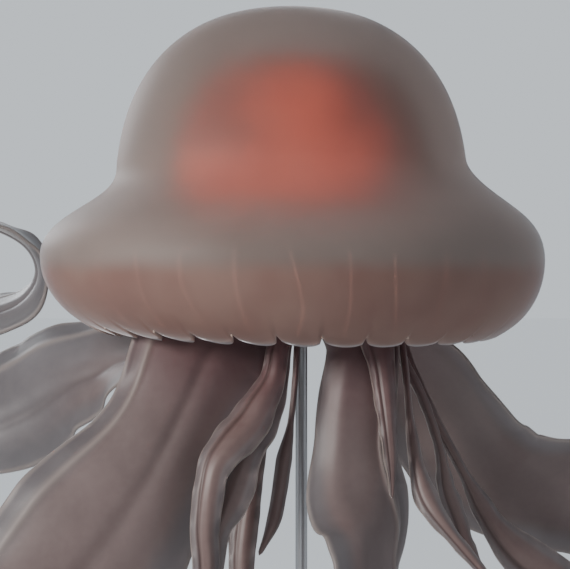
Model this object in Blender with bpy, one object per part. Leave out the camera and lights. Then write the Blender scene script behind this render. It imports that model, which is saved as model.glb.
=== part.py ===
"""A giant phantom jellyfish, life size, held on a plain display stand.

+Z is up, the floor is z = 0, and the bell's axis is x = y = 0.  Heights called h are
measured from the tips of the marginal lappets, which hang MARGIN_Z above the floor.
The bell is a hat: a tall crown over a full rounded brim whose margin curls in and ends
in lappets.  Its stomach hangs in the crown, and the mouth disc under it carries four
broad ribbon arms and the narrow lips that grow beside them.
"""
import math

import bpy
from mathutils import Vector

GAP = 0.0003                # clear space between two pieces that touch

# The bell
MARGIN_Z = 2.30             # lappet tips over the floor
BELL_HEIGHT = 0.655         # lappet tips to apex
RIM_RADIUS = 0.500
RIM_H = 0.155               # height of the widest ring
NECK_RADIUS = 0.348
NECK_H = 0.350              # where the crown grows out of the brim
CROWN_TAPER = 0.12          # how far the crown's side leans in
CROWN_POWER = 2.50          # 2 is an ellipse, more is squarer shoulders
CROWN_STEPS = (12, 28, 42, 54, 64, 73, 81, 90)      # degrees round the crown's arc
MARGIN_CENTRE_RADIUS = 0.320    # centre of the ellipse arc under the rim
MARGIN_DROP = 0.162         # its half height
FLARE_LOW, FLARE_HIGH = 0.100, 0.085    # handles of the curve from rim to neck
LAPPETS = 32
NOTCH_ANGLE, LAPPET_ANGLE = math.radians(58), math.radians(73)
CUT_H = 0.341               # the crown is parted from the brim here
NECK_WALL, RIM_WALL, MARGIN_WALL = 0.054, 0.022, 0.007
SWAY = 0.007                # rise and fall of the brim round the bell
SHOULDER_SKEW, MARGIN_SKEW = 0.015, 0.018   # the brim is fuller on its +X side
BRIM_SEGMENTS, CROWN_SEGMENTS = 96, 48

# The stomach and the mouth disc
CAVITY_RADIUS, CAVITY_TOP_H = 0.255, 0.558
CAVITY_POWER = 2.80
CAVITY_STEPS = (0, 18, 38, 56, 74)      # degrees round the cavity's arc
STOMACH_FLOOR_H, STOMACH_FOOT = 0.235, 0.030    # floor, and height of the rounded foot on it
STOMACH_BED = 0.045         # how far the flat of the floor stays inside the pouches
STOMACH_LOBES = 4
STOMACH_TURN = math.radians(-143)       # plan angle of one lobe
LOBE_DEPTH = 0.20           # share of the radius that the grooves between lobes take
DOME_WAIST = 0.12           # share taken in below the dome on top
SLACK = 0.003               # between the stomach and the crown
MOUTH_SEGMENTS = 32
MOUTH_TOP_RADIUS = 0.200
MOUTH_WAIST_RADIUS = 0.165
MOUTH_RADIUS = 0.236
MOUTH_H = 0.100             # flat underside that the arms grow from

# The arms and lips
ARM_THICK, ARM_EDGE = 0.022, 0.005
LIP_THICK, LIP_EDGE = 0.010, 0.004
NEAR, FAR, LIP = (6, 0.070), (4, 0.125), (2, 0.060)     # facets across, and length of one
ARM_CUT = 0.0006            # clear space between two lengths of an arm

# The stand
BASE_RADIUS, BASE_THICK, BASE_BEVEL = 0.550, 0.020, 0.003
ROD_X, ROD_Y = 0.020, 0.020
ROD_RADIUS = 0.012
COLLAR_RADIUS, COLLAR_HEIGHT = 0.040, 0.030
PAD_RADIUS, PAD_THICK = 0.045, 0.010
STAND_SEGMENTS = 24


# ---------------------------------------------------------------- materials

def material(name, colour, roughness, metallic=0.0):
    made = bpy.data.materials.new(name)
    made.use_nodes = True
    shader = made.node_tree.nodes["Principled BSDF"]
    shader.inputs["Base Color"].default_value = (*colour, 1.0)
    shader.inputs["Roughness"].default_value = roughness
    shader.inputs["Metallic"].default_value = metallic
    return made


def add_object(name, points, faces, finish, smooth=True):
    mesh = bpy.data.meshes.new(name)
    mesh.from_pydata([tuple(p) for p in points], [], faces)
    mesh.validate()
    mesh.materials.append(finish)
    if smooth:
        mesh.shade_smooth()
        mesh.set_sharp_from_angle(angle=math.radians(40))
    made = bpy.data.objects.new(name, mesh)
    bpy.context.scene.collection.objects.link(made)
    return made


# ---------------------------------------------------------------- bell

def margin_arc(angle):
    """Outer surface below the rim: 0 is the rim, and it curls in as the angle grows."""
    radius = MARGIN_CENTRE_RADIUS + (RIM_RADIUS - MARGIN_CENTRE_RADIUS) * math.cos(angle)
    return radius, RIM_H - MARGIN_DROP * math.sin(angle)


def flare(t):
    """Outer surface from the rim (0) up to the neck (1), a cubic curve."""
    lean = CROWN_TAPER * NECK_RADIUS / (BELL_HEIGHT - NECK_H)
    ends = ((RIM_RADIUS, RIM_H), (RIM_RADIUS, RIM_H + FLARE_LOW),
            (NECK_RADIUS + lean * FLARE_HIGH, NECK_H - FLARE_HIGH), (NECK_RADIUS, NECK_H))
    weights = ((1 - t) ** 3, 3 * t * (1 - t) ** 2, 3 * t * t * (1 - t), t ** 3)
    return tuple(sum(w * p[k] for w, p in zip(weights, ends)) for k in (0, 1))


def crown_arc(angle):
    """Outer surface from the neck (0) to the apex (a right angle)."""
    across = max(math.cos(angle), 0.0) ** (2 / CROWN_POWER)
    up = math.sin(angle) ** (2 / CROWN_POWER)
    return NECK_RADIUS * across * (1 - CROWN_TAPER * up), NECK_H + (BELL_HEIGHT - NECK_H) * up


def cavity_arc(angle):
    """Inner surface of the crown from the cut (0) to the ceiling (a right angle)."""
    across = max(math.cos(angle), 0.0) ** (2 / CAVITY_POWER)
    up = math.sin(angle) ** (2 / CAVITY_POWER)
    return CAVITY_RADIUS * across, CUT_H + (CAVITY_TOP_H - CUT_H) * up


def lappet_reach(theta):
    """0 at the notch between two lappets, 1 at the tip of one. A tip faces the front."""
    share = (theta / math.tau + 0.25) * LAPPETS + 0.5
    across = 2 * (share - math.floor(share)) - 1
    return math.sqrt(max(0.0, 1 - across ** 2))


def in_place(radius, h, theta):
    """A point of the bell. The brim sways and leans a little; what it surrounds doesn't."""
    rise = (h - RIM_H) / (NECK_H - RIM_H)
    loose = min(1.0, max(0.0, 1 - rise)) * min(1.0, max(0.0, (radius - 0.28) / 0.05))
    lift = SWAY * loose * (0.5 * math.cos(theta - 2.4) + 0.6 * math.sin(2 * theta + 0.8))
    if rise < 0:
        skew = MARGIN_SKEW * ((RIM_H - h) / MARGIN_DROP) ** 2
    else:
        skew = SHOULDER_SKEW * math.sin(math.pi * min(1.0, rise) ** 1.5)
    skew *= min(1.0, max(0.0, (radius - 0.28) / 0.05))
    swell = 1 + 0.6 * SWAY * loose * math.cos(3 * theta + 0.5)
    return Vector((radius * swell * math.cos(theta) + skew, radius * swell * math.sin(theta),
                   MARGIN_Z + h + lift))


def inset(profile, walls):
    """The profile moved inwards by a wall thickness at each point, square to its run."""
    moved = []
    for i, (radius, h) in enumerate(profile):
        before, after = profile[max(i - 1, 0)], profile[min(i + 1, len(profile) - 1)]
        run = Vector((after[0] - before[0], after[1] - before[1])).normalized()
        moved.append((radius - run.y * walls[i], h + run.x * walls[i]))
    return moved


def brim_profile(theta):
    """Closed profile of the brim: up its outer side from the margin, then down its inner side."""
    below, above = 4, 4
    level = CUT_H - GAP
    end = NOTCH_ANGLE + (LAPPET_ANGLE - NOTCH_ANGLE) * lappet_reach(theta)
    outer = [margin_arc(end * (1 - i / below)) for i in range(below)]
    walls = [MARGIN_WALL + (RIM_WALL - MARGIN_WALL) * i / below for i in range(below)]
    top = next(t / 200 for t in range(200, 0, -1) if flare(t / 200)[1] < level)
    outer += [flare(top * i / above) for i in range(above + 1)]
    walls += [RIM_WALL + (NECK_WALL - RIM_WALL) * i / above for i in range(above + 1)]
    inner = inset(outer, walls)
    outer[-1] = (outer[-1][0], level)
    inner[-1] = (inner[-1][0], level)
    kept = [inner[i] for i in (0, 2, 4, 6, 8)]
    return outer + kept[::-1]


def spun(name, profile_at, segments, finish, closed):
    """A solid of revolution whose profile may change with the angle. A closed profile makes a
    ring, and an open one runs from the axis round the outside and back to the axis."""
    rings = [profile_at(math.tau * k / segments) for k in range(segments)]
    points, faces, count = [], [], len(rings[0])
    first = 0 if closed else 1
    last = count if closed else count - 1
    for k, ring in enumerate(rings):
        theta = math.tau * k / segments
        points += [in_place(*ring[i], theta) for i in range(first, last)]
    rows = last - first
    for k in range(segments):
        here, there = k * rows, ((k + 1) % segments) * rows
        for i in range(rows if closed else rows - 1):
            j = (i + 1) % rows
            faces.append((here + i, there + i, there + j, here + j))
    if not closed:
        for end, row in ((0, 0), (-1, rows - 1)):
            points.append(in_place(0.0, rings[0][end][1], 0.0))
            pole = len(points) - 1
            for k in range(segments):
                a, b = k * rows + row, ((k + 1) % segments) * rows + row
                faces.append((pole, b, a) if end == 0 else (pole, a, b))
    return add_object(name, points, faces, finish)


def make_bell(finish):
    spun("bell_brim", brim_profile, BRIM_SEGMENTS, finish, closed=True)

    def crown_profile(theta):
        """From the cavity's ceiling down its wall, then up the outside to the apex."""
        inner = [(0.0, CAVITY_TOP_H)] + [cavity_arc(math.radians(a)) for a in CAVITY_STEPS[::-1]]
        edge = next(flare(t / 200)[0] for t in range(200) if flare(t / 200)[1] > CUT_H)
        outer = [crown_arc(math.radians(a)) for a in CROWN_STEPS]
        return inner + [(edge, CUT_H)] + outer

    spun("bell_crown", crown_profile, CROWN_SEGMENTS, finish, closed=False)


def make_stomach(finish):
    """Four pouches round a dome, two of them towards the front."""
    def profile(theta):
        """From the middle of the floor out, then up the pouches to the top."""
        groove = LOBE_DEPTH * 0.5 * (1 - math.cos(STOMACH_LOBES * (theta - STOMACH_TURN)))
        wide = CAVITY_RADIUS - SLACK
        points = [(0.0, STOMACH_FLOOR_H), ((wide - STOMACH_BED) * (1 - groove), STOMACH_FLOOR_H),
                  ((wide - STOMACH_BED / 4) * (1 - groove), STOMACH_FLOOR_H + STOMACH_FOOT)]
        for step in CAVITY_STEPS:
            angle = math.radians(step)
            radius, h = cavity_arc(angle)
            waist = 1 - DOME_WAIST * math.sin(2 * angle) ** 2
            points.append(((radius - SLACK) * waist * (1 - groove * math.cos(angle)), h - SLACK))
        return points + [(0.0, CAVITY_TOP_H - SLACK)]

    spun("stomach", profile, CROWN_SEGMENTS, finish, closed=False)


def make_mouth_disc(finish):
    def profile(theta):
        return [(0.0, MOUTH_H), (MOUTH_RADIUS - 0.006, MOUTH_H), (MOUTH_RADIUS, MOUTH_H + 0.012),
                (MOUTH_RADIUS - 0.016, MOUTH_H + 0.032), (MOUTH_WAIST_RADIUS, MOUTH_H + 0.075),
                (MOUTH_TOP_RADIUS - 0.004, STOMACH_FLOOR_H - GAP), (0.0, STOMACH_FLOOR_H - GAP)]

    spun("mouth_disc", profile, MOUTH_SEGMENTS, finish, closed=False)


# ---------------------------------------------------------------- ribbons

def between(keys, at):
    """A value at a share of the length, eased between (share, value) pairs."""
    if at <= keys[0][0]:
        return keys[0][1]
    for (low, a), (high, b) in zip(keys, keys[1:]):
        if at <= high:
            t = (at - low) / (high - low)
            return a + (b - a) * t * t * (3 - 2 * t)
    return keys[-1][1]


def through(points, fine=24):
    """Points closely spaced on a smooth curve through the route's own points."""
    p = [Vector(q) for q in points]
    p = [2 * p[0] - p[1], *p, 2 * p[-1] - p[-2]]
    found = []
    for a, b, c, d in zip(p, p[1:], p[2:], p[3:]):
        for k in range(fine):
            t = k / fine
            found.append(0.5 * (2 * b + (c - a) * t + (2 * a - 5 * b + 4 * c - d) * t * t
                                + (3 * b - a - 3 * c + d) * t ** 3))
    return [*found, p[-2]]


class Ribbon:
    """A blade that follows a route. Shares run from 0 at the mouth disc to 1 at the tip.
    facing is the plan angle in degrees of the direction across the root. The blade is
    carried along the route without twist, and roll keys (share, degrees) twist it about its
    own run. width keys are (share, metres). The edges bend back by cup times the half
    width, and ripple by ruffle over each wave of the length."""

    def __init__(self, route, facing, width, roll, thick=ARM_THICK, edge=ARM_EDGE, cup=0.20,
                 ruffle=0.012, wave=0.42, phase=0.0):
        self.line = through(route)
        self.reach = [0.0]
        for a, b in zip(self.line, self.line[1:]):
            self.reach.append(self.reach[-1] + (b - a).length)
        self.length = self.reach[-1]
        angle = math.radians(facing)
        self.runs = [Vector((0, 0, -1))]
        self.sides = [Vector((math.cos(angle), math.sin(angle), 0))]
        for k in range(1, len(self.line)):
            run = (self.line[min(k + 1, len(self.line) - 1)] - self.line[k - 1]).normalized()
            run = self.runs[0].lerp(run, min(1.0, self.reach[k] / 0.03)).normalized()
            side = self.runs[-1].rotation_difference(run) @ self.sides[-1]
            self.runs.append(run)
            self.sides.append((side - side.dot(run) * run).normalized())
        self.width, self.roll, self.thick, self.edge = width, roll, thick, edge
        self.cup, self.ruffle, self.wave, self.phase = cup, ruffle, wave, phase

    def frame(self, share):
        """Middle point, direction across, and direction out of the outer face."""
        want = min(max(share, 0.0), 1.0) * self.length
        i = next((k for k, r in enumerate(self.reach[1:]) if r >= want), len(self.line) - 2)
        t = (want - self.reach[i]) / (self.reach[i + 1] - self.reach[i])
        middle, run, side = (list_[i].lerp(list_[i + 1], t) for list_ in (self.line, self.runs, self.sides))
        run.normalize()
        side = (side - side.dot(run) * run).normalized()
        angle = math.radians(between(self.roll, share))
        across = side * math.cos(angle) + run.cross(side) * math.sin(angle)
        return middle, across, run.cross(across)

    def surface(self, share, u):
        """The blade's two faces at u across it, from -1 to 1."""
        middle, across, out = self.frame(share)
        half = between(self.width, share) / 2
        free = min(1.0, share * self.length / 0.15)
        ripple = self.ruffle * free * min(1.0, half / 0.08) * u ** 3 * math.sin(
            math.tau * share * self.length / self.wave + self.phase + 0.9 * u)
        bend = self.cup * half * free * u * u + ripple
        thin = self.edge + (self.thick * (1 - 0.45 * share) - self.edge) * (1 - u * u)
        at = middle + across * half * u * (1 - 0.12 * self.cup * u * u) - out * bend
        return at + out * thin / 2, at - out * thin / 2

    def solid(self, name, start, end, fineness, finish):
        """One length of the blade as a closed solid."""
        columns, step = fineness
        rows = max(2, round((end - start) * self.length / step))
        across = [2 * j / columns - 1 for j in range(columns + 1)]
        points = []
        for i in range(rows + 1):
            pairs = [self.surface(start + (end - start) * i / rows, u) for u in across]
            points += [p + Vector((0, 0, MARGIN_Z)) for k in (0, 1) for p in (pair[k] for pair in pairs)]
        n, faces = columns + 1, []
        for a in range(0, 2 * n * rows, 2 * n):
            b = a + 2 * n
            for j in range(columns):    # both faces are split along the same diagonal
                faces += [(a + j, b + j, b + j + 1), (a + j, b + j + 1, a + j + 1),
                          (n + a + j, n + b + j + 1, n + b + j), (n + a + j, n + a + j + 1, n + b + j + 1)]
            faces += [(a, n + a, n + b, b), (a + columns, b + columns, n + b + columns, n + a + columns)]
        last = 2 * n * rows
        for j in range(columns):
            faces.append((j, j + 1, n + j + 1, n + j))
            faces.append((last + j, last + n + j, last + n + j + 1, last + j + 1))
        return add_object(name, points, faces, finish)


ROOT_H = MOUTH_H - GAP
FRONT_LEFT = Ribbon(
    [(-0.116, -0.110, ROOT_H), (-0.122, -0.112, 0.060), (-0.172, -0.138, -0.010),
     (-0.218, -0.168, -0.114), (-0.268, -0.200, -0.215), (-0.334, -0.230, -0.320),
     (-0.410, -0.262, -0.430), (-0.520, -0.310, -0.600), (-0.620, -0.340, -0.840),
     (-0.640, -0.340, -1.130), (-0.570, -0.310, -1.430), (-0.520, -0.285, -1.730),
     (-0.580, -0.290, -2.060)],
    facing=2, width=[(0, 0.190), (0.05, 0.270), (0.12, 0.240), (0.24, 0.370), (0.45, 0.340),
                     (0.75, 0.200), (0.94, 0.100), (1, 0.040)],
    roll=[(0, 0), (0.25, 0), (0.55, -30), (0.80, -70), (1, -100)], phase=0.4)
FRONT_RIGHT = Ribbon(
    [(0.100, -0.125, ROOT_H), (0.104, -0.127, 0.060), (0.137, -0.150, -0.010),
     (0.127, -0.170, -0.114), (0.122, -0.190, -0.207), (0.128, -0.205, -0.283),
     (0.152, -0.222, -0.350), (0.158, -0.240, -0.430), (0.180, -0.300, -0.620),
     (0.260, -0.390, -0.900), (0.330, -0.450, -1.200), (0.320, -0.460, -1.520),
     (0.250, -0.440, -1.800), (0.260, -0.460, -2.100)],
    facing=8, width=[(0, 0.130), (0.05, 0.144), (0.13, 0.166), (0.20, 0.236), (0.40, 0.260),
                     (0.72, 0.180), (0.94, 0.100), (1, 0.040)],
    roll=[(0, 0), (0.155, 0), (0.23, -52), (0.30, -54), (0.55, -7), (0.80, 38), (1, 68)], phase=2.1)
BACK_RIGHT = Ribbon(
    [(0.125, 0.100, ROOT_H), (0.130, 0.102, 0.060), (0.195, 0.112, -0.020),
     (0.268, 0.120, -0.072), (0.310, 0.125, -0.130), (0.350, 0.130, -0.196),
     (0.392, 0.135, -0.255), (0.455, 0.145, -0.300), (0.560, 0.160, -0.318),
     (0.700, 0.190, -0.345), (0.830, 0.230, -0.460), (0.895, 0.285, -0.700),
     (0.870, 0.330, -1.000), (0.790, 0.360, -1.300), (0.760, 0.370, -1.600),
     (0.800, 0.380, -1.900)],
    facing=135, width=[(0, 0.150), (0.06, 0.250), (0.14, 0.290), (0.30, 0.290), (0.50, 0.280),
                       (0.78, 0.180), (0.94, 0.100), (1, 0.040)],
    roll=[(0, 0), (0.12, -10), (0.22, -20), (0.34, -40), (0.60, 0), (1, 40)], phase=1.2)
BACK_LEFT = Ribbon(
    [(-0.105, 0.115, ROOT_H), (-0.112, 0.120, 0.055), (-0.185, 0.165, -0.020),
     (-0.290, 0.210, -0.045), (-0.370, 0.245, -0.052), (-0.450, 0.285, -0.072),
     (-0.533, 0.330, -0.108), (-0.603, 0.365, -0.148), (-0.700, 0.400, -0.180),
     (-0.850, 0.430, -0.165), (-0.980, 0.445, -0.075), (-1.035, 0.450, 0.070),
     (-0.970, 0.455, 0.205), (-0.830, 0.460, 0.258), (-0.690, 0.465, 0.244),
     (-0.600, 0.475, 0.200), (-0.572, 0.485, 0.135), (-0.612, 0.505, 0.075),
     (-0.700, 0.535, 0.044), (-0.810, 0.580, 0.036),
     (-0.940, 0.650, 0.000), (-1.060, 0.710, -0.120), (-1.090, 0.740, -0.340),
     (-1.020, 0.740, -0.600), (-0.930, 0.710, -0.880), (-0.920, 0.690, -1.180),
     (-0.980, 0.690, -1.460)],
    facing=235, width=[(0, 0.140), (0.04, 0.190), (0.10, 0.270), (0.16, 0.300), (0.22, 0.260),
                       (0.29, 0.160), (0.50, 0.150), (0.68, 0.200), (0.94, 0.090), (1, 0.040)],
    roll=[(0, 0), (0.065, 0), (0.115, -65), (0.15, -82), (0.20, -80), (0.28, 0), (0.60, 0),
          (0.75, 30), (1, 60)], phase=3.0)
# Each arm's ribbon, the shares where it is parted, and the fineness of each length
ARMS = {
    "front_left": (FRONT_LEFT, (0, 0.21, 0.46, 0.72, 1), (NEAR, FAR, FAR, FAR)),
    "front_right": (FRONT_RIGHT, (0, 0.22, 0.46, 0.72, 1), (NEAR, FAR, FAR, FAR)),
    "back_right": (BACK_RIGHT, (0, 0.24, 0.48, 0.73, 1), (NEAR, FAR, FAR, FAR)),
    "back_left": (BACK_LEFT, (0, 0.15, 0.31, 0.48, 0.66, 0.83, 1), (NEAR, FAR, NEAR, FAR, FAR, FAR)),
}


def lip(route, facing, width, roll, **shape):
    """A narrow ribbon beside an arm."""
    return Ribbon(route, facing, width, roll, thick=LIP_THICK, edge=LIP_EDGE,
                  **{"cup": 0.35, "ruffle": 0.006, "wave": 0.26, **shape})


LIPS = {
    "lip_front_left_outer": lip(
        [(-0.012, -0.190, ROOT_H), (-0.014, -0.192, 0.060), (-0.026, -0.208, -0.010),
         (-0.038, -0.226, -0.070), (-0.062, -0.244, -0.112), (-0.084, -0.258, -0.148),
         (-0.117, -0.276, -0.185), (-0.143, -0.290, -0.222), (-0.154, -0.298, -0.270),
         (-0.160, -0.300, -0.345), (-0.156, -0.300, -0.420), (-0.165, -0.300, -0.540)],
        0, [(0, 0.034), (0.20, 0.046), (0.42, 0.086), (0.60, 0.062), (0.80, 0.054), (1, 0.014)],
        [(0, 0), (0.5, 12), (1, -30)], phase=0.5),
    "lip_front_left_inner": lip(
        [(-0.002, -0.152, ROOT_H), (-0.004, -0.154, 0.060), (-0.018, -0.172, -0.020),
         (-0.030, -0.198, -0.095), (-0.058, -0.226, -0.160), (-0.088, -0.248, -0.206),
         (-0.102, -0.258, -0.250), (-0.121, -0.266, -0.298), (-0.140, -0.270, -0.345),
         (-0.145, -0.270, -0.400), (-0.140, -0.270, -0.500)],
        -5, [(0, 0.026), (0.25, 0.036), (0.50, 0.066), (0.65, 0.080), (0.80, 0.050), (1, 0.012)],
        [(0, 0), (0.5, 10), (1, -10)], phase=1.9),
    "lip_front_left_leaf": lip(
        [(-0.044, -0.070, ROOT_H), (-0.045, -0.072, 0.060), (-0.052, -0.090, -0.060),
         (-0.064, -0.120, -0.200), (-0.085, -0.150, -0.320), (-0.096, -0.170, -0.430),
         (-0.088, -0.180, -0.560), (-0.090, -0.185, -0.680)],
        -5, [(0, 0.030), (0.40, 0.036), (0.60, 0.054), (0.85, 0.045), (1, 0.012)],
        [(0, 0), (0.6, 0), (1, -40)], phase=3.3),
    "lip_front_left_strip": lip(
        [(0.014, -0.092, ROOT_H), (0.013, -0.094, 0.060), (0.008, -0.120, -0.060),
         (-0.002, -0.150, -0.160), (-0.014, -0.178, -0.225), (-0.024, -0.195, -0.290),
         (-0.036, -0.200, -0.345), (-0.062, -0.200, -0.405)],
        8, [(0, 0.014), (0.48, 0.012), (0.66, 0.032), (0.84, 0.030), (1, 0.010)],
        [(0, 0), (0.6, 0), (1, 10)], phase=5.0),
    "lip_front_right_outer": lip(
        [(0.140, -0.178, ROOT_H), (0.144, -0.180, 0.060), (0.166, -0.194, -0.020),
         (0.175, -0.208, -0.085), (0.181, -0.224, -0.150), (0.186, -0.238, -0.220),
         (0.186, -0.252, -0.290)],
        8, [(0, 0.050), (0.25, 0.066), (0.45, 0.048), (0.75, 0.034), (1, 0.010)],
        [(0, 0), (0.4, 0), (1, -20)], phase=0.2),
    "lip_front_right_strand": lip(
        [(0.188, -0.104, ROOT_H), (0.191, -0.107, 0.060), (0.212, -0.128, -0.010),
         (0.221, -0.148, -0.085), (0.225, -0.165, -0.145), (0.231, -0.185, -0.200),
         (0.238, -0.205, -0.245), (0.252, -0.225, -0.290), (0.272, -0.240, -0.325),
         (0.300, -0.250, -0.362), (0.328, -0.256, -0.395), (0.356, -0.260, -0.430),
         (0.385, -0.262, -0.480)],
        20, [(0, 0.016), (0.35, 0.014), (0.52, 0.028), (0.64, 0.048), (0.80, 0.028), (1, 0.012)],
        [(0, 0), (0.5, 14), (1, 14)], phase=1.1),
    "lip_back_right_outer": lip(
        [(0.196, 0.020, ROOT_H), (0.198, 0.020, 0.060), (0.232, 0.010, -0.040),
         (0.280, 0.000, -0.150), (0.328, 0.000, -0.240), (0.352, 0.000, -0.285),
         (0.380, 0.002, -0.335), (0.412, 0.005, -0.385), (0.465, 0.015, -0.440),
         (0.560, 0.040, -0.510), (0.660, 0.070, -0.620)],
        20, [(0, 0.026), (0.45, 0.022), (0.56, 0.050), (0.72, 0.096), (0.86, 0.100), (1, 0.014)],
        [(0, 0), (0.5, 20), (1, 10)], phase=2.3),
    "lip_back_right_inner": lip(
        [(0.166, -0.050, ROOT_H), (0.170, -0.050, 0.060), (0.210, -0.050, -0.020),
         (0.260, -0.050, -0.120), (0.292, -0.052, -0.215), (0.306, -0.055, -0.290),
         (0.321, -0.058, -0.335), (0.333, -0.062, -0.370), (0.348, -0.068, -0.412),
         (0.376, -0.080, -0.455)],
        20, [(0, 0.022), (0.55, 0.020), (0.76, 0.046), (0.90, 0.036), (1, 0.012)],
        [(0, 0), (1, 0)], phase=4.1),
    "lip_back_left_outer": lip(
        [(-0.190, 0.020, ROOT_H), (-0.193, 0.022, 0.060), (-0.222, 0.050, -0.060),
         (-0.262, 0.070, -0.180), (-0.290, 0.080, -0.300), (-0.300, 0.085, -0.420),
         (-0.285, 0.085, -0.540)],
        265, [(0, 0.050), (0.35, 0.080), (0.60, 0.070), (0.85, 0.044), (1, 0.012)],
        [(0, 0), (0.5, 60), (1, 80)], phase=0.9),
    "lip_back_left_inner": lip(
        [(-0.030, 0.110, ROOT_H), (-0.032, 0.113, 0.060), (-0.050, 0.140, -0.060),
         (-0.075, 0.170, -0.180), (-0.100, 0.190, -0.310), (-0.110, 0.200, -0.440),
         (-0.095, 0.200, -0.600)],
        200, [(0, 0.050), (0.30, 0.070), (0.60, 0.064), (0.85, 0.040), (1, 0.012)],
        [(0, 0), (0.6, 20), (1, 50)], phase=5.2),
}


def make_arms(arm_finish, lip_finish):
    for place, (ribbon, cuts, fineness) in ARMS.items():
        half = ARM_CUT / 2 / ribbon.length
        for k, (start, end) in enumerate(zip(cuts, cuts[1:])):
            start, end = start + (half if start else 0), end - (half if end < 1 else 0)
            ribbon.solid(f"arm_{place}_{k + 1}", start, end, fineness[k], arm_finish)
    for name, ribbon in LIPS.items():
        ribbon.solid(name, 0.0, 1.0, LIP, lip_finish)


# ---------------------------------------------------------------- stand

def turned(name, profile, x, y, finish):
    """A solid turned about an upright line at x, y, from the bottom of its profile up."""
    points, faces, rows = [], [], len(profile)
    for k in range(STAND_SEGMENTS):
        angle = math.tau * k / STAND_SEGMENTS
        points += [(x + r * math.cos(angle), y + r * math.sin(angle), z) for r, z in profile]
    for k in range(STAND_SEGMENTS):
        here, there = k * rows, ((k + 1) % STAND_SEGMENTS) * rows
        for i in range(rows - 1):
            faces.append((here + i, there + i, there + i + 1, here + i + 1))
    faces.append([k * rows for k in range(STAND_SEGMENTS)][::-1])
    faces.append([k * rows + rows - 1 for k in range(STAND_SEGMENTS)])
    return add_object(name, points, faces, finish)


def make_stand(base_finish, rod_finish):
    turned("stand_base", [(BASE_RADIUS - BASE_BEVEL, 0.0), (BASE_RADIUS, BASE_BEVEL),
                          (BASE_RADIUS, BASE_THICK - BASE_BEVEL), (BASE_RADIUS - BASE_BEVEL, BASE_THICK)],
           0.0, 0.0, base_finish)
    foot, top = BASE_THICK + GAP, MARGIN_Z + MOUTH_H - 2 * GAP - PAD_THICK
    turned("stand_collar", [(COLLAR_RADIUS, foot), (COLLAR_RADIUS, foot + 0.010),
                            (ROD_RADIUS + 0.004, foot + COLLAR_HEIGHT)], ROD_X, ROD_Y, rod_finish)
    turned("stand_rod", [(ROD_RADIUS, foot + COLLAR_HEIGHT + GAP), (ROD_RADIUS, top)],
           ROD_X, ROD_Y, rod_finish)
    turned("stand_pad", [(ROD_RADIUS + 0.008, top + GAP), (PAD_RADIUS, top + GAP + 0.004),
                         (PAD_RADIUS, top + GAP + PAD_THICK - GAP)], ROD_X, ROD_Y, rod_finish)


def main():
    for old in list(bpy.data.objects):
        bpy.data.objects.remove(old, do_unlink=True)
    bell = material("bell_jelly", (0.19, 0.16, 0.145), 0.35)
    core = material("stomach_tissue", (0.22, 0.075, 0.06), 0.5)
    arm = material("arm_tissue", (0.10, 0.07, 0.068), 0.45)
    frill = material("lip_tissue", (0.15, 0.095, 0.095), 0.45)
    base = material("stand_base_finish", (0.03, 0.03, 0.033), 0.5)
    steel = material("stand_rod_finish", (0.35, 0.35, 0.36), 0.35, metallic=1.0)
    make_bell(bell)
    make_stomach(core)
    make_mouth_disc(arm)
    make_arms(arm, frill)
    make_stand(base, steel)


main()
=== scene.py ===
"""The looks of a life-size giant phantom jellyfish on its display stand.

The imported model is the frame: metres, +Z up, the floor at z = 0, the bell's axis at
x = y = 0.  Each skin repeats the shape of the solids it stands for at a finer step.
Heights called h are measured from the tips of the bell's marginal lappets.
"""
import math

import bmesh
import bpy
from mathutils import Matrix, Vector


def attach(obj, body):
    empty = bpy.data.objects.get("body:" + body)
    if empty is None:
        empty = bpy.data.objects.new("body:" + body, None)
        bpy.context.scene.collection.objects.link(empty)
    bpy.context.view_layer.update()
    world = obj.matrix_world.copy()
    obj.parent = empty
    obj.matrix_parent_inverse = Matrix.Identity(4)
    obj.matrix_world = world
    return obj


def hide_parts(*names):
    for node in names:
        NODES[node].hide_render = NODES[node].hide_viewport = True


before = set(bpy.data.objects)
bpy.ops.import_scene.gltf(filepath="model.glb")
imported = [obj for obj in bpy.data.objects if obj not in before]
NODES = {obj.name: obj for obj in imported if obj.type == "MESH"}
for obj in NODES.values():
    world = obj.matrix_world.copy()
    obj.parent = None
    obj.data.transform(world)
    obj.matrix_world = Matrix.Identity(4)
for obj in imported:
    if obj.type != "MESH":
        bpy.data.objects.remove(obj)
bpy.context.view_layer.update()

# The bell, as its solids have it
MARGIN_Z = 2.30
BELL_HEIGHT = 0.655
RIM_RADIUS, RIM_H = 0.500, 0.155
NECK_RADIUS, NECK_H = 0.348, 0.350
CROWN_TAPER, CROWN_POWER = 0.12, 2.50
MARGIN_CENTRE_RADIUS, MARGIN_DROP = 0.320, 0.162
FLARE_LOW, FLARE_HIGH = 0.100, 0.085
LAPPETS = 32
NOTCH_ANGLE, LAPPET_ANGLE = math.radians(58), math.radians(73)
CUT_H = 0.341
NECK_WALL, RIM_WALL, MARGIN_WALL = 0.054, 0.022, 0.007
SWAY = 0.007
SHOULDER_SKEW, MARGIN_SKEW = 0.015, 0.018
STEADY_RADIUS, STEADY_FADE = 0.28, 0.05     # what lies within this radius doesn't sway or lean
CAVITY_RADIUS, CAVITY_TOP_H, CAVITY_POWER = 0.255, 0.558, 2.80
STOMACH_FLOOR_H, STOMACH_BED, SLACK = 0.235, 0.045, 0.003
STOMACH_LOBES, LOBE_DEPTH, STOMACH_TURN, DOME_WAIST = 4, 0.20, math.radians(-143), 0.12
MOUTH_TOP_RADIUS, MOUTH_WAIST_RADIUS, MOUTH_RADIUS, MOUTH_H = 0.200, 0.165, 0.236, 0.100

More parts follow.
